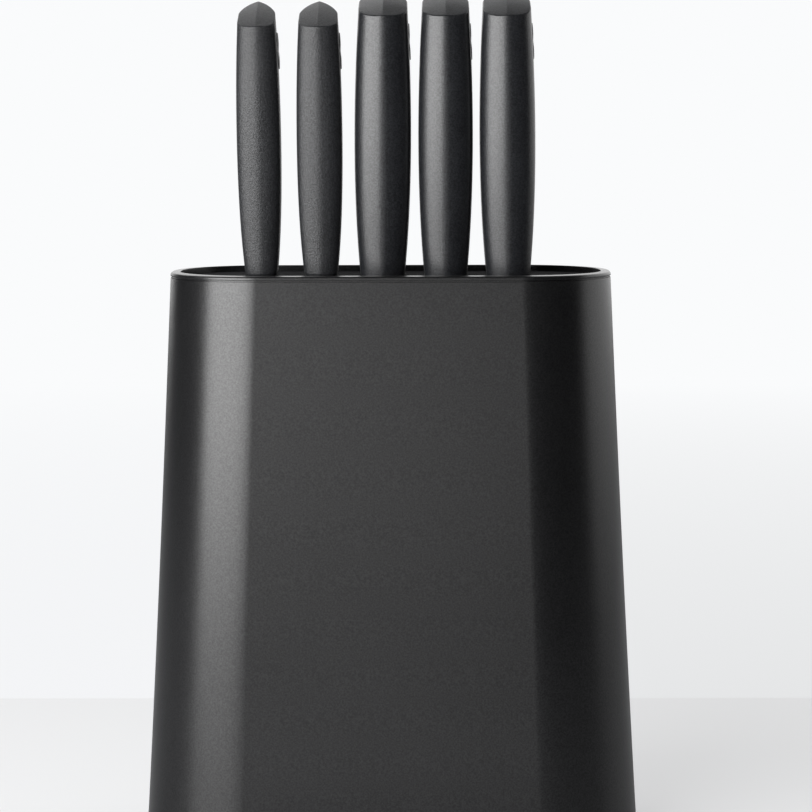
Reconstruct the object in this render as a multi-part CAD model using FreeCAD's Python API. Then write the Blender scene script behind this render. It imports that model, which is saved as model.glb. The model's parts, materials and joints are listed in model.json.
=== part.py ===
import FreeCAD, Part
import math
import os
from FreeCAD import Vector

# Knife block with five knives. Millimetres, +Z up, +Y to the rear, origin under the
# middle of the block at the level it stands on. Blade spines face the front, -Y.

# Block: outer size at the rim and at the foot, with the hollow of its swept sides
rim_width = 188.0
rim_depth = 87.0
rim_end_flat = 7.0
base_width = 212.0
base_depth = 103.0
base_end_flat = 13.0
block_height = 242.0
side_hollow = 0.45
wall = 2.6

# Rim ring that caps the housing, and the shadow groove under it
ring_height = 2.5
ring_width = 4.2
ring_round = 1.9
groove_height = 0.4
groove_depth = 0.5
skirt_depth = 11.0
skirt_clearance = 0.1
ledge_width = 2.5
ledge_height = 2.0

# Lift-out insert: slot plate, four posts and a guide plate that keeps the blades apart
plate_recess = 2.6
plate_thickness = 3.0
plate_clearance = 0.25
slot_clearance = 0.7
slot_end_clearance = 1.5
slot_mouth = 0.6
rack_depth = 80.0
guide_thickness = 3.0
guide_clearance = 1.2
post_radius = 4.0
post_inset = 11.0
spigot_radius = 2.5
spigot_height = 1.8

# Base plate, its screws and the feet
foot_height = 2.0
foot_radius = 9.0
foot_seat = 1.5
foot_round = 0.8
foot_inset = 14.0
base_thickness = 4.0
base_clearance = 0.15
boss_radius = 4.0
boss_height = 18.0
boss_from_corner = 19.0
boss_inset = 8.0
rib_thickness = 2.5
rib_overlap = 0.5

# Pan-head screws, used for the base and for the guide plate
screw_radius = 1.4
screw_length = 12.0
screw_head_radius = 2.8
screw_head_height = 1.9
screw_drive = 1.1
head_clearance = 0.3

# Knives, left to right. A handle's thickness and depth are given at five heights, foot to butt;
# girth is how much fuller or slimmer one moulding came out than its kind.
butt_slope = 23.5
front_share = 0.10
side_share = 0.41
seat_gap = 0.05
section_heights = [0.0, 0.22, 0.50, 0.78, 1.0]
large_handle = {"length": 122.8, "thickness": [18.5, 22.3, 23.7, 22.2, 19.2],
                "depth": [26.0, 29.0, 31.0, 30.0, 27.5], "shoulder": 2.6}
small_handle = {"length": 117.4, "thickness": [13.6, 17.6, 18.95, 17.9, 15.0],
                "depth": [22.0, 24.5, 26.5, 26.5, 26.0], "shoulder": 2.2}
blade_thickness = 2.0
blade_edge = 0.35
blade_shoulder = 0.6
flat_share = 0.3
spine_bow = 0.12
belly_bow = 0.16
tang_depth = 12.0
tang_end = 34.0
core_thickness = 8.0
core_depth = 16.0
core_end = 26.0
core_round = 2.0
knives = [
    {"name": "paring", "handle": small_handle, "slot_x": -55.05, "lean": -0.77, "girth": 0.98,
     "length": 90.0, "width": 19.0, "spine": -9.0, "tip": 0.42, "drop": 0.78, "belly": 0.45, "teeth": 0},
    {"name": "utility", "handle": small_handle, "slot_x": -29.65, "lean": -0.36, "girth": 1.02,
     "length": 130.0, "width": 22.0, "spine": -10.0, "tip": 0.36, "drop": 0.80, "belly": 0.55, "teeth": 0},
    {"name": "bread", "handle": large_handle, "slot_x": -3.35, "lean": 0.25, "girth": 1.015,
     "length": 200.0, "width": 32.0, "spine": -11.0, "tip": 0.72, "drop": 0.86, "belly": 0.93, "teeth": 24},
    {"name": "carving", "handle": large_handle, "slot_x": 23.55, "lean": 0.03, "girth": 0.98,
     "length": 200.0, "width": 30.0, "spine": -11.0, "tip": 0.30, "drop": 0.72, "belly": 0.62, "teeth": 0},
    {"name": "chef", "handle": large_handle, "slot_x": 50.25, "lean": -0.35, "girth": 1.0,
     "length": 200.0, "width": 42.0, "spine": -13.0, "tip": 0.28, "drop": 0.70, "belly": 0.42, "teeth": 0},
]
tooth_pitch = 7.0
tooth_radius = 5.0
tooth_depth = 1.4
tooth_start = 12.0

# Oval lip round a shallow dish on the right flank of every handle, near the butt
dish_from_butt = 21.5
dish_height = 15.5
dish_depth = 11.0
dish_proud = 0.6
dish_lip = 1.6
dish_sink = 0.45
dish_round = 0.5

# Working allowances: how far cutters run past a solid, and a straight too short to see
overrun = 2.0
hair = 0.01

# Levels worked out from the sizes above
ring_bottom = block_height - ring_height
plate_top = block_height - plate_recess
plate_bottom = plate_top - plate_thickness
base_top = foot_height + base_thickness
guide_top = plate_bottom - rack_depth
guide_bottom = guide_top - guide_thickness


def rounded_wire(half_x, half_y, radius, z):
    """Closed rounded rectangle, centred on the Z axis."""
    flat_x = half_x - radius
    flat_y = half_y - radius
    edges = []
    for quarter, (sx, sy) in enumerate([(1, 1), (-1, 1), (-1, -1), (1, -1)]):
        turn = math.radians(90 * quarter)
        centre = Vector(sx * flat_x, sy * flat_y, z)
        around = [turn, turn + math.radians(45), turn + math.radians(90)]
        a, b, c = [centre + Vector(radius * math.cos(t), radius * math.sin(t), 0) for t in around]
        edges.append(Part.Arc(a, b, c).toShape())
    joined = []
    for arc, following in zip(edges, edges[1:] + edges[:1]):
        joined.append(arc)
        joined.append(Part.makeLine(arc.Vertexes[-1].Point, following.Vertexes[0].Point))
    return Part.Wire(joined)


def block_size(z):
    """Half width, half depth and corner radius of the housing's outside at a height."""
    share = (z - foot_height) / (ring_bottom - foot_height)
    hollow = 4 * side_hollow * share * (1 - share)
    half_x = (base_width + (rim_width - base_width) * share) / 2 - hollow
    half_y = (base_depth + (rim_depth - base_depth) * share) / 2 - hollow
    end_flat = base_end_flat + (rim_end_flat - base_end_flat) * share
    return half_x, half_y, half_y - end_flat / 2


def block_wire(size_at, inset, z):
    """The housing's outline at one height, set in by a distance and drawn at level z."""
    half_x, half_y, radius = block_size(size_at)
    return rounded_wire(half_x - inset, half_y - inset, radius - inset, z)


def block_slab(size_at, inset, bottom, top):
    face = Part.Face(block_wire(size_at, inset, bottom))
    return face.extrude(Vector(0, 0, top - bottom))


def block_loft(inset):
    middle = (foot_height + ring_bottom) / 2
    wires = [block_wire(z, inset, z) for z in (foot_height, middle, ring_bottom)]
    return Part.makeLoft(wires, True, False)


def rod(x, y, bottom, top, radius):
    return Part.makeCylinder(radius, top - bottom, Vector(x, y, bottom))


def mirrored(x, y):
    return [(sx * x, sy * y) for sy in (-1, 1) for sx in (-1, 1)]


def corner_places(size_at, inset, edge_inset):
    """Four places on the diagonals of the rounded corners, a distance in from a plate's edge."""
    half_x, half_y, radius = block_size(size_at)
    along = (radius - inset - edge_inset) * math.sqrt(0.5)
    return mirrored(half_x - radius + along, half_y - radius + along)


def post_places():
    return corner_places(ring_bottom, ring_width + ledge_width + guide_clearance, post_inset)


def foot_places():
    return corner_places(foot_height, wall + base_clearance, foot_inset)


def boss_places():
    """Screw bosses stand close to the front and rear walls, clear of the rounded corners."""
    half_x, half_y, radius = block_size(foot_height)
    return mirrored(half_x - radius - boss_from_corner, half_y - wall - boss_inset)


def screw(x, y, head_bottom):
    """Pan-head screw pointing up, with a square drive in its head."""
    head_top = head_bottom + screw_head_height
    head = rod(x, y, head_bottom, head_top, screw_head_radius)
    head = head.makeFillet(screw_head_height / 3, [head.Edges[2]])
    shank = rod(x, y, head_top, head_top + screw_length, screw_radius)
    drive = Part.makeBox(2 * screw_drive, 2 * screw_drive, screw_head_height / 2,
                         Vector(x - screw_drive, y - screw_drive, head_bottom))
    return head.fuse(shank).cut(drive)


def housing():
    """Tapered hollow body with four screw bosses, each on a rib from the wall."""
    body = block_loft(0).cut(block_loft(wall))
    boss_top = base_top + boss_height
    for x, y in boss_places():
        reach = math.copysign(base_depth / 2 - wall + rib_overlap, y)
        rib = Part.makeBox(rib_thickness, abs(reach - y), boss_height,
                           Vector(x - rib_thickness / 2, min(y, reach), base_top))
        body = body.fuse(rib.fuse(rod(x, y, base_top, boss_top, boss_radius)))
        pilot_top = foot_height + 2 * screw_head_height + screw_length
        body = body.cut(rod(x, y, base_top, pilot_top, screw_radius))
    return body.removeSplitter()


def rim_ring():
    """Rounded cap on the housing's edge; its skirt follows the wall and carries the plate's ledge."""
    cap = block_slab(ring_bottom, 0, ring_bottom + groove_height, block_height)
    top_edges = [e for e in cap.Edges if e.BoundBox.ZMin > block_height - hair]
    cap = cap.makeFillet(ring_round, top_edges)
    neck = block_slab(ring_bottom, groove_depth, ring_bottom, ring_bottom + groove_height)
    skirt_bottom = ring_bottom - skirt_depth
    skirt_ends = [block_wire(z, wall + skirt_clearance, z) for z in (skirt_bottom, ring_bottom)]
    skirt = Part.makeLoft(skirt_ends, True, True)
    solid = cap.fuse(neck).fuse(skirt)
    solid = solid.cut(block_slab(ring_bottom, ring_width, skirt_bottom, block_height))
    ledge = block_slab(ring_bottom, ring_width, plate_bottom - ledge_height, plate_bottom)
    ledge = ledge.cut(block_slab(ring_bottom, ring_width + ledge_width,
                                 plate_bottom - ledge_height, plate_bottom))
    return solid.fuse(ledge).removeSplitter()


def thicknesses(knife):
    return [knife["girth"] * thickness for thickness in knife["handle"]["thickness"]]


def place_knife(shape, knife):
    """Stand a shape made round the Z axis, handle foot at zero, in its knife's place."""
    lean = knife["lean"]
    lift = thicknesses(knife)[0] / 2 * math.sin(math.radians(abs(lean)))
    shape.rotate(Vector(0, 0, 0), Vector(0, 1, 0), lean)
    shape.translate(Vector(knife["slot_x"], 0, plate_top + seat_gap + lift))
    return shape


def slot_cut(knife, depth):
    """Cutter for one blade's slot, with a sloping mouth at the slot plate's upper face."""
    half_x = blade_thickness / 2 + slot_clearance
    half_y = knife["width"] / 2 + slot_end_clearance
    def ring(grow, z):
        return rounded_wire(half_x + grow, half_y + grow, half_x + grow - hair, z)

    throat = ring(0, -slot_mouth)
    mouth = Part.makeLoft([throat, ring(slot_mouth + overrun, overrun)], True, True)
    cutter = Part.makeLoft([ring(0, -depth), throat], True, True).fuse(mouth)
    cutter.translate(Vector(0, knife["spine"] + knife["width"] / 2, -seat_gap))
    return place_knife(cutter, knife)


def slot_plate():
    """Recessed top plate of the insert, one slot to a knife and a socket for each post."""
    plate = block_slab(ring_bottom, ring_width + plate_clearance, plate_bottom, plate_top)
    for knife in knives:
        plate = plate.cut(slot_cut(knife, plate_thickness + overrun))
    for x, y in post_places():
        plate = plate.cut(rod(x, y, plate_bottom, plate_bottom + spigot_height, spigot_radius))
    return plate


def guide_plate():
    """Lower plate of the insert, small enough to lift out past the ledge."""
    plate = block_slab(ring_bottom, ring_width + ledge_width + guide_clearance,
                       guide_bottom, guide_top)
    for knife in knives:
        plate = plate.cut(slot_cut(knife, plate_top - guide_bottom + overrun))
    for x, y in post_places():
        plate = plate.cut(rod(x, y, guide_bottom, guide_top, screw_radius))
    return plate


def tie_post(x, y):
    post = rod(x, y, guide_top, plate_bottom, post_radius)
    post = post.fuse(rod(x, y, plate_bottom, plate_bottom + spigot_height, spigot_radius))
    screw_top = guide_bottom + screw_length
    return post.cut(rod(x, y, guide_top, screw_top, screw_radius))


def tie_posts():
    return Part.makeCompound([tie_post(x, y) for x, y in post_places()])


def post_screws():
    head_bottom = guide_bottom - screw_head_height
    return Part.makeCompound([screw(x, y, head_bottom) for x, y in post_places()])


def base_plate():
    """Floor of the housing, with pockets for the feet and sunk screw heads."""
    plate = block_slab(base_top, wall + base_clearance, foot_height, base_top)
    for x, y in foot_places():
        plate = plate.cut(rod(x, y, foot_height, foot_height + foot_seat, foot_radius))
    for x, y in boss_places():
        head_top = foot_height + screw_head_height
        plate = plate.cut(rod(x, y, foot_height, head_top, screw_head_radius + head_clearance))
        plate = plate.cut(rod(x, y, head_top, base_top, screw_radius))
    return plate


def base_screws():
    return Part.makeCompound([screw(x, y, foot_height) for x, y in boss_places()])


def foot(x, y):
    pad = rod(x, y, 0, foot_height + foot_seat, foot_radius)
    return pad.makeFillet(foot_round, [pad.Edges[2]])


def handle_section(thickness, depth, shoulder, z):
    """Shield outline: creased front, flat flanks, arched back that meets in a ridge."""
    half = thickness / 2
    front = -depth / 2
    flank_start = front + front_share * depth
    flank_end = flank_start + side_share * depth
    back_length = depth / 2 - flank_end
    back_radius = (half ** 2 + back_length ** 2) / (2 * half)
    half_turn = math.asin(back_length / back_radius) / 2
    slope = math.atan2(flank_start - front, half)
    trim = shoulder * math.tan((math.pi / 2 - slope) / 2)
    bend = (math.pi / 2 - slope) / 2

    def at(x, y):
        return Vector(x, y, z)

    def right_side(mirror):
        crease = at(0, front)
        corner_in = at(mirror * (half - trim * math.cos(slope)), flank_start - trim * math.sin(slope))
        corner_mid = at(mirror * (half - shoulder + shoulder * math.cos(bend)),
                        flank_start + trim - shoulder * math.sin(bend))
        corner_out = at(mirror * half, flank_start + trim)
        flank = at(mirror * half, flank_end)
        arch = at(mirror * (half - back_radius + back_radius * math.cos(half_turn)),
                  flank_end + back_radius * math.sin(half_turn))
        ridge = at(0, depth / 2)
        return [Part.makeLine(crease, corner_in), Part.Arc(corner_in, corner_mid, corner_out).toShape(),
                Part.makeLine(corner_out, flank), Part.Arc(flank, arch, ridge).toShape()]

    return Part.Wire(right_side(1) + right_side(-1)[::-1])


def handle_body(knife):
    """Barrel of shield sections, cut off at the butt by a plane that slopes to the front."""
    handle = knife["handle"]
    length = handle["length"]
    wires = []
    for share, thickness, depth in zip(section_heights, thicknesses(knife), handle["depth"]):
        wires.append(handle_section(thickness, depth, handle["shoulder"], share * length))
    body = Part.makeLoft(wires, True, False)
    reach = handle["depth"][-1]
    rise = reach * math.tan(math.radians(butt_slope))
    side = -reach
    corners = [Vector(side, -1.5 * reach, length - 2 * rise), Vector(side, reach, length + rise / 2),
               Vector(side, reach, length + 2 * rise), Vector(side, -1.5 * reach, length + 2 * rise)]
    cutter = Part.Face(Part.makePolygon(corners + corners[:1])).extrude(Vector(2 * reach, 0, 0))
    return body.cut(cutter)


def oval(height, depth, z, start, end):
    """Stadium-shaped plug along X, longer along Z."""
    wire = rounded_wire(depth / 2, height / 2, depth / 2 - hair, start)
    plug = Part.Face(wire).extrude(Vector(0, 0, end - start))
    plug.rotate(Vector(0, 0, 0), Vector(0, 0, 1), 90)
    plug.rotate(Vector(0, 0, 0), Vector(0, 1, 0), 90)
    plug.translate(Vector(0, 0, z))
    return plug


def flank_x(knife, z):
    """Half thickness of a handle at a height, between its two nearest sections."""
    share = z / knife["handle"]["length"]
    lower = max(i for i, height in enumerate(section_heights) if height <= share)
    low, high = section_heights[lower:lower + 2]
    mix = (share - low) / (high - low)
    thickness = thicknesses(knife)
    return (thickness[lower] * (1 - mix) + thickness[lower + 1] * mix) / 2


def grip(knife):
    """Outer handle moulding with the oval on its right flank, hollow where the core fills it."""
    z = knife["handle"]["length"] - dish_from_butt
    flank = flank_x(knife, z)
    lip = oval(dish_height, dish_depth, z, flank - 2 * dish_lip, flank + dish_proud)
    dish = oval(dish_height - 2 * dish_lip, dish_depth - 2 * dish_lip, z,
                flank - dish_sink, flank + 2 * dish_proud)
    outer_edges = [e for e in lip.Edges if e.BoundBox.XMin > flank + dish_proud - hair]
    lip = lip.makeFillet(dish_round, outer_edges)
    body = handle_body(knife).fuse(lip).cut(dish)
    return place_knife(body.cut(core_block(knife)), knife)


def core_block(knife):
    length = knife["handle"]["length"] - core_end
    block = Part.makeBox(core_thickness, core_depth, length,
                         Vector(-core_thickness / 2, -core_depth / 2, 0))
    upright = [e for e in block.Edges if e.BoundBox.ZLength > length / 2]
    return block.makeFillet(core_round, upright)


def tang(knife):
    length = knife["handle"]["length"] - tang_end
    return Part.makeBox(blade_thickness, tang_depth, length,
                        Vector(-blade_thickness / 2, -tang_depth / 2, 0))


def core(knife):
    return place_knife(core_block(knife).cut(tang(knife)), knife)


def blade_outline(knife):
    """Side view of a blade that hangs down from its handle, spine at -Y and edge at +Y."""
    spine = knife["spine"]
    edge = spine + knife["width"]
    length = knife["length"]
    top = -blade_shoulder
    tip = Vector(0, spine + knife["tip"] * knife["width"], -length)
    drop = Vector(0, spine, -knife["drop"] * length)
    belly = Vector(0, edge, -knife["belly"] * length)
    spine_mid = (drop + tip) / 2 + Vector(0, -spine_bow * (tip.y - drop.y), 0)
    belly_mid = (belly + tip) / 2 + Vector(0, belly_bow * (belly.y - tip.y), 0)
    return Part.Wire([Part.makeLine(Vector(0, edge, top), Vector(0, spine, top)),
                      Part.makeLine(Vector(0, spine, top), drop),
                      Part.Arc(drop, spine_mid, tip).toShape(),
                      Part.Arc(tip, belly_mid, belly).toShape(),
                      Part.makeLine(belly, Vector(0, edge, top))])


def blade(knife):
    """Flat-ground blade and its tang in one piece; the bread knife's edge is scalloped."""
    spine = knife["spine"]
    edge = spine + knife["width"]
    profile = Part.Face(blade_outline(knife)).extrude(Vector(blade_thickness, 0, 0))
    profile.translate(Vector(-blade_thickness / 2, 0, 0))
    flat = spine + flat_share * knife["width"]
    half = blade_thickness / 2
    ground = [Vector(-half, spine, 0), Vector(half, spine, 0), Vector(half, flat, 0),
              Vector(blade_edge / 2, edge, 0), Vector(-blade_edge / 2, edge, 0), Vector(-half, flat, 0)]
    wedge = Part.Face(Part.makePolygon(ground + ground[:1])).extrude(Vector(0, 0, -knife["length"]))
    body = profile.common(wedge)
    for tooth in range(knife["teeth"]):
        z = -tooth_start - tooth * tooth_pitch
        scallop = Part.makeCylinder(tooth_radius, blade_thickness,
                                    Vector(-half, edge + tooth_radius - tooth_depth, z),
                                    Vector(1, 0, 0))
        body = body.cut(scallop)
    neck = tang(knife)
    neck = neck.fuse(Part.makeBox(blade_thickness, tang_depth, 2 * blade_shoulder,
                                  Vector(-half, -tang_depth / 2, -2 * blade_shoulder)))
    return place_knife(body.fuse(neck).removeSplitter(), knife)


def write(name, shape):
    shape.exportStep("parts/" + name + ".step")
    print(name, len(shape.Solids), "solids", shape.isValid(), round(shape.Volume), "mm3")


os.makedirs("parts", exist_ok=True)
write("housing", housing())
write("rim_ring", rim_ring())
write("slot_plate", slot_plate())
write("guide_plate", guide_plate())
write("tie_posts", tie_posts())
write("post_screws", post_screws())
write("base_plate", base_plate())
write("base_screws", base_screws())
for side, (foot_place_x, foot_place_y) in zip(["front_left", "front_right", "rear_left", "rear_right"],
                                              foot_places()):
    write("foot_" + side, foot(foot_place_x, foot_place_y))
for one_knife in knives:
    write(one_knife["name"] + "_blade", blade(one_knife))
    write(one_knife["name"] + "_core", core(one_knife))
    write(one_knife["name"] + "_grip", grip(one_knife))
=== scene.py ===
import json
import math

import bmesh
import bpy
import numpy as np
from mathutils import Matrix, Vector


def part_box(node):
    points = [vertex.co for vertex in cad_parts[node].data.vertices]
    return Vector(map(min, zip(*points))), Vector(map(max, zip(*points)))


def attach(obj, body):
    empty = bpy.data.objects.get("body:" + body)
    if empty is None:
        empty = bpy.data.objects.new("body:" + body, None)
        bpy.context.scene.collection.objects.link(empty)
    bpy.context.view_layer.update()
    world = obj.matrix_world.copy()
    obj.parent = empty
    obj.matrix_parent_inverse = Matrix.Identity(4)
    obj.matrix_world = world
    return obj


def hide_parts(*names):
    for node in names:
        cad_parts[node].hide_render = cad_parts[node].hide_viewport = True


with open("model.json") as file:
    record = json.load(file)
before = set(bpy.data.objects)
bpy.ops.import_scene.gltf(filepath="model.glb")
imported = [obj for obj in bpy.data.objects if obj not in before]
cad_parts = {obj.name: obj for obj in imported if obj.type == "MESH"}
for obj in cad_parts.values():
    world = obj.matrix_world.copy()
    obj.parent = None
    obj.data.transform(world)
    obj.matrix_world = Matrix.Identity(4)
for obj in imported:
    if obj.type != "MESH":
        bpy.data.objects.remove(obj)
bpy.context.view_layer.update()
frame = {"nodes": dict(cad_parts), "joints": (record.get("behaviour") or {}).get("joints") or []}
print("frame loaded", len(frame["nodes"]), "nodes")

mm = 0.001
hair = 1e-5  # nearer than this counts as the same place
squareOn = 0.9  # a face looks a way if the cosine between its normal and that way is over this
smoothAngle = math.radians(35)  # edges that turn more than this stay sharp


# modelling helpers

def deselectAll():
    if bpy.context.mode != "OBJECT":
        bpy.ops.object.mode_set(mode="OBJECT")
    bpy.ops.object.select_all(action="DESELECT")


def edit(piece, kind="VERT"):
    deselectAll()
    bpy.context.view_layer.objects.active = piece
    piece.select_set(True)
    bpy.ops.object.mode_set(mode="EDIT")
    bpy.ops.mesh.select_mode(type=kind)
    bpy.ops.mesh.select_all(action="DESELECT")


def pickVerts(piece, test):  # selects the vertices whose place passes the test
    mesh = bmesh.from_edit_mesh(piece.data)
    for vert in mesh.verts:
        vert.select_set(bool(test(vert.co)))
    mesh.select_flush_mode()
    bmesh.update_edit_mesh(piece.data)


def pickEdges(piece, test):  # the test reads both ends
    mesh = bmesh.from_edit_mesh(piece.data)
    for edge in mesh.edges:
        edge.select_set(bool(test(edge.verts[0].co, edge.verts[1].co)))
    bmesh.update_edit_mesh(piece.data)


def pickFaces(piece, test):  # the test reads the middle and the normal
    mesh = bmesh.from_edit_mesh(piece.data)
    for face in mesh.faces:
        face.select_set(bool(test(face.calc_center_median(), face.normal)))
    bmesh.update_edit_mesh(piece.data)


def selectedVerts(piece):
    return [vert.index for vert in bmesh.from_edit_mesh(piece.data).verts if vert.select]


def pickIndices(piece, indices, test=lambda co: True):
    mesh = bmesh.from_edit_mesh(piece.data)
    mesh.verts.ensure_lookup_table()
    for vert in mesh.verts:
        vert.select_set(False)
    for index in indices:
        mesh.verts[index].select_set(bool(test(mesh.verts[index].co)))
    mesh.select_flush_mode()
    bmesh.update_edit_mesh(piece.data)


def applyModifier(piece, kind, **settings):
    deselectAll()
    bpy.context.view_layer.objects.active = piece
    piece.select_set(True)
    modifier = piece.modifiers.new(kind.title(), kind)
    for name, value in settings.items():
        setattr(modifier, name, value)
    bpy.ops.object.modifier_apply(modifier=modifier.name)


def finishPiece(piece, body, slotName, material, *nodes):
    deselectAll()
    bpy.context.view_layer.objects.active = piece
    piece.select_set(True)
    bpy.ops.object.transform_apply(location=True, rotation=True, scale=True)
    bpy.ops.object.shade_smooth_by_angle(angle=smoothAngle)
    applyModifier(piece, "WEIGHTED_NORMAL", keep_sharp=True)
    piece.data.materials.clear()
    piece.data.materials.append(material)
    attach(piece, body)
    if nodes:
        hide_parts(*nodes)
    return piece


# material helpers

def colour(hexText):  # sRGB hex to the linear values that the shader takes
    parts = [int(hexText[i:i + 2], 16) / 255 for i in (1, 3, 5)]
    return [c / 12.92 if c <= 0.04045 else ((c + 0.055) / 1.055) ** 2.4 for c in parts] + [1.0]


def addNode(tree, kind, values=None, links=None, **settings):
    node = tree.nodes.new(kind)
    for name, value in settings.items():
        setattr(node, name, value)
    for socket, value in (values or {}).items():
        node.inputs[socket].default_value = value
    for socket, source in (links or {}).items():
        tree.links.new(source, node.inputs[socket])
    return node


def newMaterial(name):
    material = bpy.data.materials.new(name)
    material.use_nodes = True
    material.node_tree.nodes.clear()
    return material, material.node_tree


def scaleFor(size):  # texture scale for a pattern that repeats about every size metres
    return 1.0 / size


# moulded plastics, rubber and steel

noiseLow, noiseHigh = 0.3, 0.7  # most of a noise texture's values lie between these


def grainedPlastic(name, look):  # the tool's grain tints and dents the surface and breaks its sheen; painted shade lowers the sheen in its hollows
    material, tree = newMaterial(name)
    place = addNode(tree, "ShaderNodeTexCoord").outputs["Object"]
    grain = addNode(tree, "ShaderNodeTexNoise", {"Scale": scaleFor(look["grain"]), "Detail": 3.0,
                    "Roughness": 0.6}, {"Vector": place})
    cloud = addNode(tree, "ShaderNodeTexNoise", {"Scale": scaleFor(look["cloud"]), "Detail": 2.0},
                    {"Vector": place})
    speckle = addNode(tree, "ShaderNodeMapRange", {"From Min": noiseLow, "From Max": noiseHigh,
                      "To Min": -look["speckle"], "To Max": look["speckle"]},
                      {"Value": grain.outputs["Fac"]})
    drift = addNode(tree, "ShaderNodeMapRange", {"From Min": noiseLow, "From Max": noiseHigh,
                    "To Min": -look["drift"], "To Max": look["drift"]},
                    {"Value": cloud.outputs["Fac"]})
    both = addNode(tree, "ShaderNodeMath", links={0: speckle.outputs[0], 1: drift.outputs[0]},
                   operation="ADD")
    share = addNode(tree, "ShaderNodeMath", {1: 0.5}, {0: both.outputs[0]}, operation="ADD")  # of light
    tint = addNode(tree, "ShaderNodeMix", {6: colour(look["dark"]), 7: colour(look["light"])},
                   {0: share.outputs[0]}, data_type="RGBA")
    rough = addNode(tree, "ShaderNodeMapRange", {"From Min": 0.0, "From Max": 1.0,
                    "To Min": look["rough"] - look["wander"], "To Max": look["rough"] + look["wander"]},
                    {"Value": cloud.outputs["Fac"]})
    bump = addNode(tree, "ShaderNodeBump", {"Strength": look["bump"], "Distance": look["relief"]},
                   {"Height": grain.outputs["Fac"]})
    links = {"Base Color": tint.outputs[2], "Roughness": rough.outputs[0], "Normal": bump.outputs[0]}
    if look["sheenShadeInHollows"]:  # painted shade: the sheen is lowered in the grain's hollows, about the shader's own middle level
        shine = addNode(tree, "ShaderNodeMapRange", {"From Min": noiseLow, "From Max": noiseHigh,
                        "To Min": 0.5 - look["sheenShadeInHollows"], "To Max": 0.5 + look["sheenShadeInHollows"]},
                        {"Value": grain.outputs["Fac"]})
        links["Specular IOR Level"] = shine.outputs[0]
    shader = addNode(tree, "ShaderNodeBsdfPrincipled", {"IOR": look["ior"]}, links)
    addNode(tree, "ShaderNodeOutputMaterial", links={"Surface": shader.outputs[0]})
    return material


# Grain and cloud are pattern sizes. The real grain is about 0.1 mm and too fine to show, so it is
# drawn coarser. Relief is how deep it is, and the last number is the share of the sheen held back in the
# grain's hollows, which paints shade there.

# ABS moulded in a finely spark-eroded tool: near black, a broad satin sheen with an even tooth
shellLook = {"dark": "#0c0c0d", "light": "#151516", "grain": 0.7 * mm, "cloud": 40 * mm,
             "speckle": 1.0, "drift": 0.1, "rough": 0.285, "wander": 0.02, "bump": 1.0,
             "relief": 0.03 * mm, "ior": 1.58, "sheenShadeInHollows": 0.09}
# polypropylene moulded in a sand-textured tool: dark grey, a highlight broken into fine grains
gripLook = {"dark": "#111214", "light": "#242528", "grain": 0.7 * mm, "cloud": 25 * mm,
            "speckle": 1.0, "drift": 0.1, "rough": 0.345, "wander": 0.02, "bump": 1.0,
            "relief": 0.07 * mm, "ior": 1.58, "sheenShadeInHollows": 0.07}
# the same from a duller tool: the highlight spreads and greys the whole flank
smallGripLook = dict(gripLook, rough=0.50, relief=0.17 * mm)
# ABS moulded in a matt tool: black that gives back hardly any light
insertLook = {"dark": "#18181a", "light": "#232325", "grain": 0.6 * mm, "cloud": 30 * mm,
              "speckle": 0.3, "drift": 0.1, "rough": 0.95, "wander": 0.02, "bump": 0.5,
              "relief": 0.05 * mm, "ior": 1.1, "sheenShadeInHollows": 0.0}
# ABS moulded in a plain tool: black with a dull even sheen
baseLook = dict(insertLook, light="#242526", rough=0.58, ior=1.5)
# glass-filled nylon moulded round the tang: charcoal with a faint waxy sheen
coreLook = dict(insertLook, dark="#1b1b1c", light="#2a2a2b", rough=0.42, ior=1.5)

shellPlastic = grainedPlastic("moulded-ABS-fine-grain", shellLook)
gripPlastic = grainedPlastic("moulded-polypropylene-sand-grain", gripLook)
smallGripPlastic = grainedPlastic("moulded-polypropylene-dull-grain", smallGripLook)
insertPlastic = grainedPlastic("moulded-black-ABS", insertLook)
basePlastic = grainedPlastic("moulded-black-ABS-base", baseLook)
corePlastic = grainedPlastic("glass-filled-nylon", coreLook)


def mouldedRubber(name, look):
    material, tree = newMaterial(name)
    place = addNode(tree, "ShaderNodeTexCoord").outputs["Object"]
    bloom = addNode(tree, "ShaderNodeTexNoise", {"Scale": scaleFor(look["bloom"]), "Detail": 4.0},
                    {"Vector": place})
    tint = addNode(tree, "ShaderNodeMix", {6: colour(look["dark"]), 7: colour(look["light"])},
                   {0: bloom.outputs["Fac"]}, data_type="RGBA")
    bump = addNode(tree, "ShaderNodeBump", {"Strength": look["bump"], "Distance": look["relief"]},
                   {"Height": bloom.outputs["Fac"]})
    shader = addNode(tree, "ShaderNodeBsdfPrincipled", {"Roughness": look["rough"]},
                     {"Base Color": tint.outputs[2], "Normal": bump.outputs[0]})
    addNode(tree, "ShaderNodeOutputMaterial", links={"Surface": shader.outputs[0]})
    return material


# soft rubber pressed in a plain mould: black with nearly no highlight and a faint dusty bloom
rubberLook = {"dark": "#1a1a1a", "light": "#2b2a29", "bloom": 3 * mm, "rough": 0.8, "bump": 0.2,
              "relief": 0.1 * mm}
footRubber = mouldedRubber("moulded-rubber", rubberLook)


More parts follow.
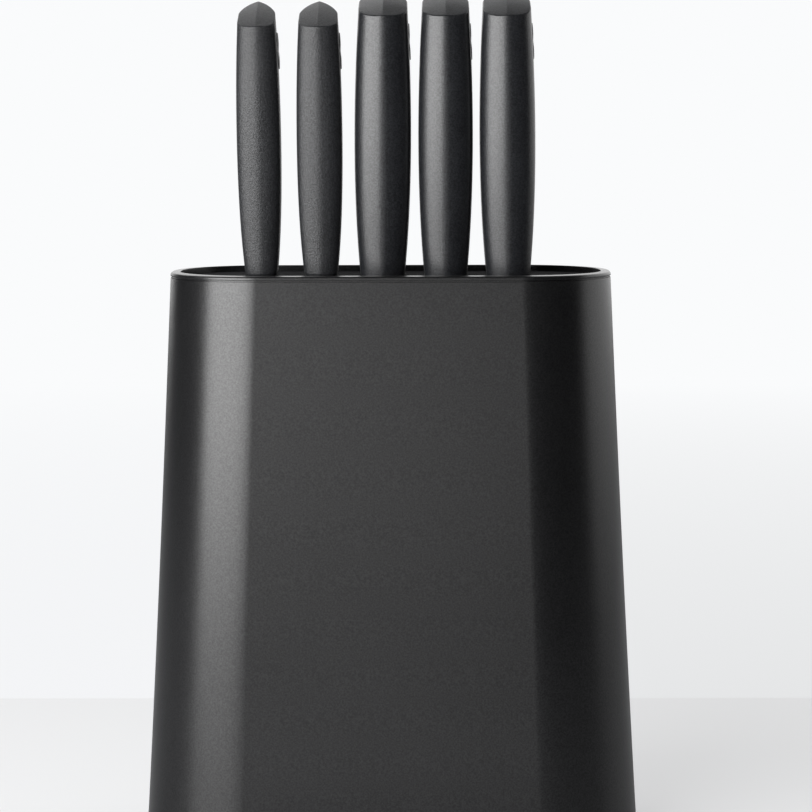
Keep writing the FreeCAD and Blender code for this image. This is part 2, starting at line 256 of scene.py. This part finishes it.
def satinSteel(name, look):  # fine marks, drawn out by the look's stretch
    material, tree = newMaterial(name)
    place = addNode(tree, "ShaderNodeTexCoord").outputs["Object"]
    stretch = addNode(tree, "ShaderNodeMapping", {"Scale": look["stretch"]}, {"Vector": place})
    lines = addNode(tree, "ShaderNodeTexNoise", {"Scale": scaleFor(look["scratch"]), "Detail": 4.0},
                    {"Vector": stretch.outputs[0]})
    tint = addNode(tree, "ShaderNodeMix", {6: colour(look["dark"]), 7: colour(look["light"])},
                   {0: lines.outputs["Fac"]}, data_type="RGBA")
    rough = addNode(tree, "ShaderNodeMapRange", {"From Min": noiseLow, "From Max": noiseHigh,
                    "To Min": look["rough"] - look["wander"], "To Max": look["rough"] + look["wander"]},
                    {"Value": lines.outputs["Fac"]})
    bump = addNode(tree, "ShaderNodeBump", {"Strength": look["bump"], "Distance": look["relief"]},
                   {"Height": lines.outputs["Fac"]})
    shader = addNode(tree, "ShaderNodeBsdfPrincipled", {"Metallic": 1.0},
                     {"Base Color": tint.outputs[2], "Roughness": rough.outputs[0],
                      "Normal": bump.outputs[0]})
    addNode(tree, "ShaderNodeOutputMaterial", links={"Surface": shader.outputs[0]})
    return material


# stainless steel ground from spine to edge: a satin grey whose highlight runs across the lines; the
# real lines are about 0.05 mm apart and are drawn coarser
bladeLook = {"dark": "#b4b6b8", "light": "#c6c8c9", "scratch": 0.5 * mm, "stretch": (1, 0.04, 1),
             "rough": 0.26, "wander": 0.03, "bump": 0.02, "relief": 0.02 * mm}
# steel, zinc plated in a barrel: pale and even, with a soft cloudy shine
screwLook = {"dark": "#8d8f91", "light": "#b3b5b6", "scratch": 0.8 * mm, "stretch": (1, 1, 1),
             "rough": 0.34, "wander": 0.03, "bump": 0.02, "relief": 0.02 * mm}
bladeSteel = satinSteel("ground-stainless-steel", bladeLook)
screwSteel = satinSteel("zinc-plated-steel", screwLook)
print("materials made")


# block: outlines swept from one level to the next

block = {"baseEndFlat": 13.0 * mm, "rimEndFlat": 7.0 * mm, "sideHollow": 0.45 * mm, "wall": 2.6 * mm,
         "cornerSteps": 32, "levels": 14, "footRound": 0.6 * mm, "footSteps": 4, "edgeRound": 0.25 * mm,
         "edgeSteps": 2}
ring = {"width": 4.2 * mm, "grooveDepth": 0.8 * mm, "grooveHeight": 0.65 * mm, "round": 1.0 * mm,
        "fall": 4.0, "roundSteps": 6, "innerRound": 0.3 * mm, "skirtClearance": 0.1 * mm,
        "ledgeWidth": 2.5 * mm, "ledgeHeight": 2.0 * mm, "lowerEdge": 0.15 * mm, "edgeSteps": 2}

shellLow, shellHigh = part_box("housing")
ringLow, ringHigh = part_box("rim_ring")
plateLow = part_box("slot_plate")[0]


def station(sizeAt, inset, z):  # half width, half depth, corner radius and level of one outline
    share = (sizeAt - shellLow.z) / (shellHigh.z - shellLow.z)
    hollow = 4 * block["sideHollow"] * share * (1 - share)
    halfX = shellHigh.x + (ringHigh.x - shellHigh.x) * share - hollow
    halfY = shellHigh.y + (ringHigh.y - shellHigh.y) * share - hollow
    endFlat = block["baseEndFlat"] + (block["rimEndFlat"] - block["baseEndFlat"]) * share
    return halfX - inset, halfY - inset, halfY - endFlat / 2 - inset, z


def shiftQuarters(piece, indices, old, new):  # each rounded corner is scaled and moved as one
    for signX, signY in ((1, 1), (-1, 1), (-1, -1), (1, -1)):
        pickIndices(piece, indices, lambda co: co.x * signX > 0 and co.y * signY > 0)
        oldCentre = Vector((signX * (old[0] - old[2]), signY * (old[1] - old[2]), old[3]))
        newCentre = Vector((signX * (new[0] - new[2]), signY * (new[1] - new[2]), new[3]))
        grow = new[2] / old[2]
        bpy.ops.transform.resize(value=(grow, grow, 1), center_override=oldCentre)
        bpy.ops.transform.translate(value=newCentre - oldCentre)
    pickIndices(piece, indices)


def sweepOutlines(name, stations):  # a closed ring: the last outline meets the first
    deselectAll()
    first = stations[0]
    steps = 4 * block["cornerSteps"]
    bpy.ops.mesh.primitive_circle_add(vertices=steps, radius=first[2], location=(0, 0, first[3]),
                                      rotation=(0, 0, math.pi / steps), fill_type="NOTHING")
    piece = bpy.context.object
    piece.name = name
    bpy.ops.object.transform_apply(location=True, rotation=True, scale=True)
    edit(piece)
    bpy.ops.mesh.select_all(action="SELECT")
    shiftQuarters(piece, selectedVerts(piece), (first[2], first[2], first[2], first[3]), first)
    bpy.ops.mesh.select_all(action="SELECT")
    for old, new in zip(stations, stations[1:] + stations[:1]):
        bpy.ops.mesh.extrude_region_move(TRANSFORM_OT_translate={"value": (0, 0, 0)})
        shiftQuarters(piece, selectedVerts(piece), old, new)
    bpy.ops.mesh.select_all(action="SELECT")
    bpy.ops.mesh.remove_doubles(threshold=hair)
    bpy.ops.mesh.normals_make_consistent(inside=False)
    deselectAll()
    return piece


def arcStations(sizeAt, inset, z, radius, start, end, steps):  # rounds an edge about inset, z
    made = []
    for step in range(steps + 1):
        turn = math.radians(start + (end - start) * step / steps)
        made.append(station(sizeAt, inset - radius * math.cos(turn), z + radius * math.sin(turn)))
    return made


def makeShell():
    low, high, wall = shellLow.z, shellHigh.z, block["wall"]
    rounding = block["footRound"]
    soft = block["edgeRound"]
    outer = arcStations(low, rounding, low + rounding, rounding, -90, 0, block["footSteps"])
    for level in range(1, block["levels"]):
        z = low + rounding + (high - low - rounding - soft) * level / block["levels"]
        outer.append(station(z, 0, z))
    outer += arcStations(high, soft, high - soft, soft, 0, 90, block["edgeSteps"])
    inner = [station(high, wall, high), station(low, wall, low)]
    return sweepOutlines("housingShell", outer + inner)


def makeRing():
    low = shellHigh.z  # the ring sits on the housing's edge
    groove, soft, rounding, edge = (ring[k] for k in ("grooveDepth", "innerRound", "round", "lowerEdge"))
    width, fall = ring["width"], math.radians(ring["fall"])
    capLow = low + ring["grooveHeight"]
    flatTop = width - soft - rounding * (1 - math.sin(fall))  # slopes down to the outside
    arcHeight = ringHigh.z - flatTop * math.tan(fall) - rounding * math.cos(fall)
    stations = [station(low, groove, low), station(low, groove, capLow)]
    stations += arcStations(low, edge, capLow + edge, edge, -90, 0, ring["edgeSteps"])
    stations += arcStations(low, rounding, arcHeight, rounding, 0, 90 - ring["fall"], ring["roundSteps"])
    stations += [station(low, width - soft * (1 - math.sin(t)), ringHigh.z - soft * (1 - math.cos(t)))
                 for t in (0, math.pi / 6, math.pi / 3, math.pi / 2)]
    stations += [station(low, width, plateLow.z),
                 station(low, width + ring["ledgeWidth"], plateLow.z),
                 station(low, width + ring["ledgeWidth"], plateLow.z - ring["ledgeHeight"]),
                 station(low, width, plateLow.z - ring["ledgeHeight"]),
                 station(low, width, ringLow.z),
                 station(ringLow.z, block["wall"] + ring["skirtClearance"], ringLow.z),
                 station(low, block["wall"] + ring["skirtClearance"], low)]
    return sweepOutlines("rimCap", stations)


finishPiece(makeShell(), "block", "shell", shellPlastic, "housing")
print("housing shell made")
finishPiece(makeRing(), "block", "rim", shellPlastic, "rim_ring")
print("rim ring made")


# screw bosses inside the housing, each on a rib from the wall

boss = {"radius": 4.0 * mm, "sides": 20, "height": 18.0 * mm, "bore": 1.4 * mm, "spareBore": 1.9 * mm,
        "headRadius": 2.8 * mm, "intoWall": 0.5 * mm}  # the bore runs past the screw by spareBore
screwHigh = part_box("base_screws")[1]
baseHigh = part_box("base_plate")[1]


def makeBoss(name, sideX, sideY):
    place = Vector((sideX * (screwHigh.x - boss["headRadius"]), sideY * (screwHigh.y - boss["headRadius"]),
                    baseHigh.z + boss["height"] / 2))
    deselectAll()
    bpy.ops.mesh.primitive_cylinder_add(vertices=boss["sides"], radius=boss["radius"], depth=boss["height"],
                                        location=place)
    piece = bpy.context.object
    piece.name = name
    bpy.ops.object.transform_apply(location=True, rotation=True, scale=True)
    edit(piece, "FACE")
    pickFaces(piece, lambda middle, facing: facing.z < -squareOn)
    bpy.ops.mesh.inset(thickness=boss["radius"] - boss["bore"], depth=0)
    bpy.ops.mesh.extrude_region_move(
        TRANSFORM_OT_translate={"value": (0, 0, screwHigh.z + boss["spareBore"] - baseHigh.z)})
    outermost = math.cos(2 * math.pi / boss["sides"])  # the two sides that look at the wall
    pickFaces(piece, lambda middle, facing: facing.y * sideY > outermost
              and abs(middle.y - place.y) > boss["bore"])
    bpy.ops.mesh.extrude_region_move(TRANSFORM_OT_translate={"value": (0, 0, 0)})
    wallPlace = (place.x, sideY * (shellHigh.y - block["wall"] + boss["intoWall"]), place.z)
    bpy.ops.transform.resize(value=(1, 0, 1), center_override=wallPlace)
    deselectAll()
    return piece


for name, sideX, sideY in (("bossFrontLeft", -1, -1), ("bossFrontRight", 1, -1),
                           ("bossRearLeft", -1, 1), ("bossRearRight", 1, 1)):
    finishPiece(makeBoss(name, sideX, sideY), "block", "shell", shellPlastic)
print("bosses made")


# handles: a creased, barrelled bar with a sloping butt

handleShares = (0.0, 0.22, 0.50, 0.78, 1.0)  # heights that the tables below give sizes at
largeHandle = {"length": 122.8 * mm, "thickness": (18.5, 22.3, 23.7, 22.2, 19.2),
               "depth": (26.0, 29.0, 31.0, 30.0, 27.5), "frontArch": 0.26, "foot": 0.8 * mm,
               "ovalFromButt": 23.0 * mm, "finish": gripPlastic}
smallHandle = {"length": 117.4 * mm, "thickness": (13.6, 17.6, 18.95, 17.9, 15.0),
               "depth": (22.0, 24.5, 26.5, 26.5, 26.0), "frontArch": 0.19, "foot": 1.8 * mm,
               "ovalFromButt": 21.5 * mm, "finish": smallGripPlastic}
shape = {"creaseSlope": 0.12, "frontPower": 2.5, "ridgeSlope": 0.17, "backPower": 1.5, "flankEnd": 0.51,
         "buttSlope": 23.5, "buttBulge": 1.1 * mm, "buttRoof": 7.0, "buttRows": 7, "buttRound": 0.5 * mm,
         "footSteps": 4, "rings": 18, "columns": 9, "crease": 0.2 * mm, "ridge": 0.8 * mm}
knives = {"paring": (smallHandle, 0.98), "utility": (smallHandle, 1.02), "bread": (largeHandle, 1.015),
          "carving": (largeHandle, 0.98), "chef": (largeHandle, 1.0)}  # handle and its girth
oval = {"height": 15.5 * mm, "depth": 11.0 * mm, "proud": 0.5 * mm, "waist": 0.2 * mm,
        "lip": 1.6 * mm, "floor": 0.1 * mm, "root": 1.5 * mm, "round": 0.4 * mm}


def sizeAt(table, share):  # smooth curve through the table's five sizes
    return float(np.polyval(np.polyfit(handleShares, table, 4), share)) * mm


def knifeAxis(name):  # where the handle's foot stands, and how far it leans
    axis = next(Vector(j["axis"]) for j in frame["joints"] if j["child"] == name + "_knife")
    low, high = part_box(name + "_core")
    foot = (low + high) / 2 - axis * (high.z - low.z) / 2
    return foot, math.atan2(axis.x, axis.z)


def archAt(across, power):  # height of a unit arch; a larger power gives squarer shoulders
    return (1 - across ** power) ** (1 / power)


def cutButt(piece, handle, half):  # slanted, bulging a little, two sides meeting in a low roof
    slope, roof = math.radians(shape["buttSlope"]), math.tan(math.radians(shape["buttRoof"]))
    deep = handle["depth"][-1] * mm
    normal = Vector((0, -math.sin(slope), math.cos(slope)))
    bpy.ops.mesh.select_all(action="SELECT")
    rear = Vector((0, deep / 2, handle["length"] - roof * half))
    fine = hair / 10  # a coarser cut would snap the outline's points
    bpy.ops.mesh.bisect(plane_co=rear, plane_no=normal, use_fill=True, clear_outer=True, threshold=fine)
    bpy.ops.mesh.select_mode(type="FACE")

    def onButt(middle, facing):
        return abs((middle - rear).dot(normal)) < 10 * hair and facing.dot(normal) > squareOn

    for row in range(1, shape["buttRows"]):
        pickFaces(piece, onButt)
        bpy.ops.mesh.bisect(plane_co=(0, deep * (row / shape["buttRows"] - 0.5), 0), plane_no=(0, 1, 0),
                            threshold=fine)
    pickFaces(piece, onButt)
    bpy.ops.mesh.bisect(plane_co=(0, 0, 0), plane_no=(1, 0, 0), threshold=fine)
    pickFaces(piece, onButt)
    butt = selectedVerts(piece)
    mesh = bmesh.from_edit_mesh(piece.data)
    mesh.verts.ensure_lookup_table()
    spots = [mesh.verts[index].co.copy() for index in butt]
    bpy.ops.mesh.select_mode(type="VERT")
    for y in sorted({round(co.y, 6) for co in spots}):
        pickIndices(piece, butt, lambda co: round(co.y, 6) == y)
        bpy.ops.transform.translate(value=(0, 0, shape["buttBulge"] * (1 - (2 * y / deep) ** 2)))
    for x in sorted({round(abs(co.x), 6) for co in spots}):
        pickIndices(piece, butt, lambda co: round(abs(co.x), 6) == x)
        bpy.ops.transform.translate(value=(0, 0, roof * max(0, half - x)))
    pickIndices(piece, butt, lambda co: abs(co.x) < hair)
    bpy.ops.mesh.select_mode(type="EDGE")
    bpy.ops.mesh.mark_sharp()
    bpy.ops.mesh.select_mode(type="VERT")
    pickIndices(piece, butt)
    bpy.ops.mesh.select_mode(type="FACE")
    bpy.ops.mesh.region_to_loop()
    bpy.ops.mesh.bevel(offset=shape["buttRound"], segments=3, clamp_overlap=False)


def makeHandle(name):
    handle, girth = knives[name]
    length = handle["length"]
    half = max(handle["thickness"]) / 2 * mm * girth
    depth = max(handle["depth"]) * mm
    arch = handle["frontArch"] * depth
    flankStart = -depth / 2 + arch + shape["creaseSlope"] * half
    flankEnd = -depth / 2 + shape["flankEnd"] * depth
    backArch = depth / 2 - flankEnd - shape["ridgeSlope"] * half

    deselectAll()
    bpy.ops.mesh.primitive_cube_add(size=1, location=(0, (flankStart + flankEnd) / 2, length / 2),
                                    scale=(2 * half, flankEnd - flankStart, length))
    piece = bpy.context.object
    piece.name = name + "Grip"
    bpy.ops.object.transform_apply(location=True, rotation=True, scale=True)
    edit(piece)
    steps = shape["columns"]
    columns = [half * math.sin(math.pi / 2 * step / steps) for step in range(1 - steps, steps)]
    for x in columns:
        bpy.ops.mesh.select_all(action="SELECT")
        bpy.ops.mesh.bisect(plane_co=(x, 0, 0), plane_no=(1, 0, 0))
    for x in columns:  # the front is a flat arch with a faint crease, the back rises to a ridge
        across = abs(x) / half
        rise = backArch * archAt(across, shape["backPower"]) + shape["ridgeSlope"] * (half - abs(x))
        pickVerts(piece, lambda co: abs(co.x - x) < hair and co.y > flankEnd - hair)
        bpy.ops.transform.translate(value=(0, rise, 0))
        fall = arch * archAt(across, shape["frontPower"]) + shape["creaseSlope"] * (half - abs(x))
        pickVerts(piece, lambda co: abs(co.x - x) < hair and co.y < flankStart + hair)
        bpy.ops.transform.translate(value=(0, -fall, 0))
    pickEdges(piece, lambda a, b: all(abs(v.x) < hair and v.y < 0 for v in (a, b)))
    bpy.ops.mesh.bevel(offset=shape["crease"], segments=2)
    pickEdges(piece, lambda a, b: all(abs(v.x) < hair and v.y > depth / 2 - hair for v in (a, b)))
    bpy.ops.mesh.bevel(offset=shape["ridge"], segments=3)

    turns = [math.pi / 2 * step / shape["footSteps"] for step in range(shape["footSteps"] + 1)]
    rings = [(handle["foot"] * (1 - math.cos(t)), handle["foot"] * (1 - math.sin(t))) for t in turns]
    rings += [(length * step / shape["rings"], 0) for step in range(1, shape["rings"] + 1)]
    for z, inset in rings[1:-1]:
        bpy.ops.mesh.select_all(action="SELECT")
        bpy.ops.mesh.bisect(plane_co=(0, 0, z), plane_no=(0, 0, 1))
    for z, inset in rings:  # barrel shape, drawn in round the foot
        pickVerts(piece, lambda co: abs(co.z - z) < hair)
        wide = sizeAt(handle["thickness"], z / length) * girth / 2
        deep = sizeAt(handle["depth"], z / length) / 2
        bpy.ops.transform.resize(value=((wide - inset) / half, (deep - inset) / (depth / 2), 1),
                                 center_override=(0, 0, z))

    cutButt(piece, handle, sizeAt(handle["thickness"], 1) * girth / 2)
    deselectAll()
    return piece


def makeOval(name):  # bare raised lip round a flat floor, modelled at the origin facing +X
    deselectAll()
    bpy.ops.mesh.primitive_circle_add(vertices=48, radius=oval["depth"] / 2, fill_type="NGON",
                                      location=(-oval["root"], 0, 0), rotation=(0, math.pi / 2, 0))
    piece = bpy.context.object
    piece.name = name + "Oval"
    bpy.ops.object.transform_apply(location=True, rotation=True, scale=True)
    edit(piece, "FACE")
    for side in (1, -1):  # a stadium: two half rounds drawn apart
        pickVerts(piece, lambda co: co.z * side > hair)
        bpy.ops.transform.translate(value=(0, 0, side * (oval["height"] - oval["depth"]) / 2))
    bpy.ops.mesh.select_all(action="SELECT")
    bpy.ops.mesh.extrude_region_move(
        TRANSFORM_OT_translate={"value": (oval["root"] + oval["proud"], 0, 0)})
    bpy.ops.mesh.inset(thickness=oval["lip"], depth=0)
    bpy.ops.transform.translate(value=(oval["floor"] - oval["proud"], 0, 0))
    bpy.ops.mesh.select_mode(type="EDGE")
    pickEdges(piece, lambda a, b: abs(a.x - oval["proud"]) < hair and abs(b.x - oval["proud"]) < hair)
    bpy.ops.mesh.bevel(offset=oval["round"], segments=3)
    bpy.ops.mesh.select_all(action="SELECT")
    bpy.ops.mesh.bisect(plane_co=(0, 0, 0), plane_no=(0, 0, 1))
    pickVerts(piece, lambda co: abs(co.z) < hair and co.x > oval["floor"] + hair)
    bpy.ops.transform.translate(value=(-oval["waist"], 0, 0))  # the lip dips between its ends
    bpy.ops.mesh.select_all(action="SELECT")
    bpy.ops.mesh.normals_make_consistent(inside=False)
    deselectAll()
    return piece


for name, (handle, girth) in knives.items():
    foot, lean = knifeAxis(name)
    leaning = Matrix.Translation(foot) @ Matrix.Rotation(lean, 4, "Y")
    grip = makeHandle(name)
    grip.matrix_world = leaning
    finishPiece(grip, name + "_knife", "grip", handle["finish"], name + "_grip")

    middle = handle["length"] - handle["ovalFromButt"]
    ends = [sizeAt(handle["thickness"], (middle + end) / handle["length"]) * girth / 2
            for end in (-oval["height"] / 2, oval["height"] / 2)]
    taper = math.atan2(ends[1] - ends[0], oval["height"])
    badge = makeOval(name)
    badge.matrix_world = (leaning @ Matrix.Translation((sum(ends) / 2, 0, middle))
                          @ Matrix.Rotation(taper, 4, "Y"))
    finishPiece(badge, name + "_knife", "grip", handle["finish"])
print("handles made")


# finishes of the pieces that keep their own shape

finishes = {"slot_plate": insertPlastic, "guide_plate": insertPlastic, "tie_posts": insertPlastic,
            "post_screws": screwSteel, "base_plate": basePlastic, "base_screws": screwSteel,
            "foot_front_left": footRubber, "foot_front_right": footRubber,
            "foot_rear_left": footRubber, "foot_rear_right": footRubber}
for name in knives:
    finishes[name + "_blade"] = bladeSteel
    finishes[name + "_core"] = corePlastic
for name, material in finishes.items():
    node = frame["nodes"][name]
    if not node.material_slots:
        node.data.materials.append(material)
    for materialSlot in node.material_slots:
        materialSlot.material = material
print("finishes set")


# floor, light and camera

# in reflections the floor takes a darker colour than its own: painted shade
floor = {"wide": 8.0, "front": -0.45, "back": 4.0, "edge": 0.275, "blend": 0.004, "fade": 2.0,
         "tablePlain": 0.45, "plain": 0.88, "near": "#cccdce", "paintedShadeInGloss": "#808183", "face": "#f8f8f9",
         "farLeft": "#f6f7f9", "farRightPaintedShadow": "#e9eaeb", "far": "#fafbfc", "left": -0.10, "right": 0.14,
         "rough": 0.6}
lamps = {"key": {"azimuth": -41.2, "height": 0.56, "reach": 1.3, "wide": 1.43, "tall": 1.10, "power": 38},
         "front": {"azimuth": -1, "height": 0.10, "reach": 2.0, "wide": 0.42, "tall": 0.50, "power": 0.9},
         "top": {"azimuth": -150, "height": 1.2, "reach": 1.0, "wide": 0.8, "tall": 0.8, "power": 3.6}}
lampAim = Vector((0, 0, 0.2))  # the upper part of the block
sky = {"glossTurn": 153, "glossUp": -22, "lightTurn": 200, "lightUp": 50, "open": 0.26, "full": 0.45,
       "dim": 0.010, "light": 1.1, "gloss": 1.7, "seen": "#fafbfc"}
camera = {"place": (0.0172, -1.3, 0.3175), "down": 5.888, "turn": 0.475, "roll": -0.145,
          "lens": 134.56, "sensor": 36}


# rolled paint on board: matt, even and pale; past its back edge the floor runs on paler, darkened towards
# the right by a painted shadow, and it shows painted shade in reflections
def paleFloor(name, look):
    material, tree = newMaterial(name)
    place = addNode(tree, "ShaderNodeTexCoord").outputs["Object"]
    axes = addNode(tree, "ShaderNodeSeparateXYZ", links={0: place})
    ray = addNode(tree, "ShaderNodeLightPath")
    past = addNode(tree, "ShaderNodeMapRange", {"From Min": look["edge"],
                   "From Max": look["edge"] + look["blend"]}, {"Value": axes.outputs["Y"]})
    away = addNode(tree, "ShaderNodeMapRange", {"From Min": look["edge"], "From Max": look["fade"]},
                   {"Value": axes.outputs["Y"]})
    plain = addNode(tree, "ShaderNodeMapRange", {"To Min": look["plain"], "To Max": 1.0},
                    {"Value": away.outputs[0]})
    tint = addNode(tree, "ShaderNodeMix", {6: colour(look["near"]), 7: colour(look["paintedShadeInGloss"])},
                   {0: ray.outputs["Is Glossy Ray"]}, data_type="RGBA")  # painted shade: the floor looks darker in reflections than its own colour
    shader = addNode(tree, "ShaderNodeBsdfPrincipled", {"Roughness": look["rough"]},
                     {"Base Color": tint.outputs[2]})
    # painted shadow: past the table's edge the floor darkens towards the right, near the block, fading with
    # distance
    across = addNode(tree, "ShaderNodeMapRange", {"From Min": look["left"], "From Max": look["right"]},
                     {"Value": axes.outputs["X"]})
    nearEndPaintedShadow = addNode(tree, "ShaderNodeMix", {6: colour(look["farLeft"]), 7: colour(look["farRightPaintedShadow"])},
                      {0: across.outputs[0]}, data_type="RGBA")
    far = addNode(tree, "ShaderNodeMix", {7: colour(look["far"])},
                  {0: away.outputs[0], 6: nearEndPaintedShadow.outputs[2]}, data_type="RGBA")
    backdrop = addNode(tree, "ShaderNodeMix", {6: colour(look["face"])},
                       {0: past.outputs[0], 7: far.outputs[2]}, data_type="RGBA")
    own = addNode(tree, "ShaderNodeMapRange", {"To Min": look["tablePlain"]},
                  {"Value": past.outputs[0], "To Max": plain.outputs[0]})
    share = addNode(tree, "ShaderNodeMath", links={0: own.outputs[0], 1: ray.outputs["Is Camera Ray"]},
                    operation="MULTIPLY")
    white = addNode(tree, "ShaderNodeEmission", links={"Color": backdrop.outputs[2]})
    mixed = addNode(tree, "ShaderNodeMixShader", links={0: share.outputs[0], 1: shader.outputs[0],
                    2: white.outputs[0]})
    addNode(tree, "ShaderNodeOutputMaterial", links={"Surface": mixed.outputs[0]})
    return material


deselectAll()
bpy.ops.mesh.primitive_plane_add(size=1, location=(0, (floor["front"] + floor["back"]) / 2, 0))
table = bpy.context.object
table.name = "table"
table.scale = (floor["wide"], floor["back"] - floor["front"], 1)
bpy.ops.object.transform_apply(location=True, rotation=True, scale=True)
table.data.materials.append(paleFloor("painted-table", floor))


def addLamp(name, look):
    turn = math.radians(look["azimuth"])
    place = Vector((math.sin(turn) * look["reach"], -math.cos(turn) * look["reach"], look["height"]))
    aim = (lampAim - place).to_track_quat("-Z", "Y")
    bpy.ops.object.light_add(type="AREA", location=place, rotation=aim.to_euler())
    lamp = bpy.context.object
    lamp.name = name
    lamp.data.shape = "RECTANGLE"
    lamp.data.size = look["wide"]
    lamp.data.size_y = look["tall"]
    lamp.data.energy = look["power"]
    lamp.visible_camera = False


for name, look in lamps.items():
    addLamp(name + "Lamp", look)


def makeSky():  # seen white; the object is lit by its bright side, behind and to the right
    world = bpy.data.worlds.new("studio")
    bpy.context.scene.world = world
    world.use_nodes = True
    tree = world.node_tree
    tree.nodes.clear()
    axes = []
    for kind in ("light", "gloss"):
        turn, up = (math.radians(sky[kind + end]) for end in ("Turn", "Up"))
        axes.append((math.sin(turn) * math.cos(up), -math.cos(turn) * math.cos(up), math.sin(up)))
    ray = addNode(tree, "ShaderNodeLightPath")
    axis = addNode(tree, "ShaderNodeMix", {4: axes[0], 5: axes[1]}, {0: ray.outputs["Is Glossy Ray"]},
                   data_type="VECTOR")
    towards = addNode(tree, "ShaderNodeTexCoord").outputs["Generated"]
    along = addNode(tree, "ShaderNodeVectorMath", links={0: towards, 1: axis.outputs[1]},
                    operation="DOT_PRODUCT")
    level = addNode(tree, "ShaderNodeMapRange", {"From Min": sky["open"], "From Max": sky["full"],
                    "To Min": sky["dim"], "To Max": 1.0}, {"Value": along.outputs["Value"]},
                    interpolation_type="SMOOTHSTEP")
    share = addNode(tree, "ShaderNodeMapRange", {"To Min": sky["light"], "To Max": sky["gloss"]},
                    {"Value": ray.outputs["Is Glossy Ray"]})
    strength = addNode(tree, "ShaderNodeMath", links={0: level.outputs[0], 1: share.outputs[0]},
                       operation="MULTIPLY")
    light = addNode(tree, "ShaderNodeBackground", links={"Strength": strength.outputs[0]})
    seen = addNode(tree, "ShaderNodeBackground", {"Color": colour(sky["seen"])})
    both = addNode(tree, "ShaderNodeMixShader", links={0: ray.outputs["Is Camera Ray"],
                   1: light.outputs[0], 2: seen.outputs[0]})
    addNode(tree, "ShaderNodeOutputWorld", links={"Surface": both.outputs[0]})


makeSky()

bpy.ops.object.camera_add(location=camera["place"])
cameraObject = bpy.context.object
tilt = Matrix.Rotation(math.radians(90 - camera["down"]), 3, "X")
swing = Matrix.Rotation(math.radians(camera["turn"]), 3, "Z")
roll = Matrix.Rotation(math.radians(camera["roll"]), 3, "Z")
cameraObject.rotation_euler = (swing @ tilt @ roll).to_euler()
cameraObject.data.lens = camera["lens"]
cameraObject.data.sensor_width = camera["sensor"]
bpy.context.scene.camera = cameraObject
bpy.context.scene.view_settings.view_transform = "Standard"
print("stage set")
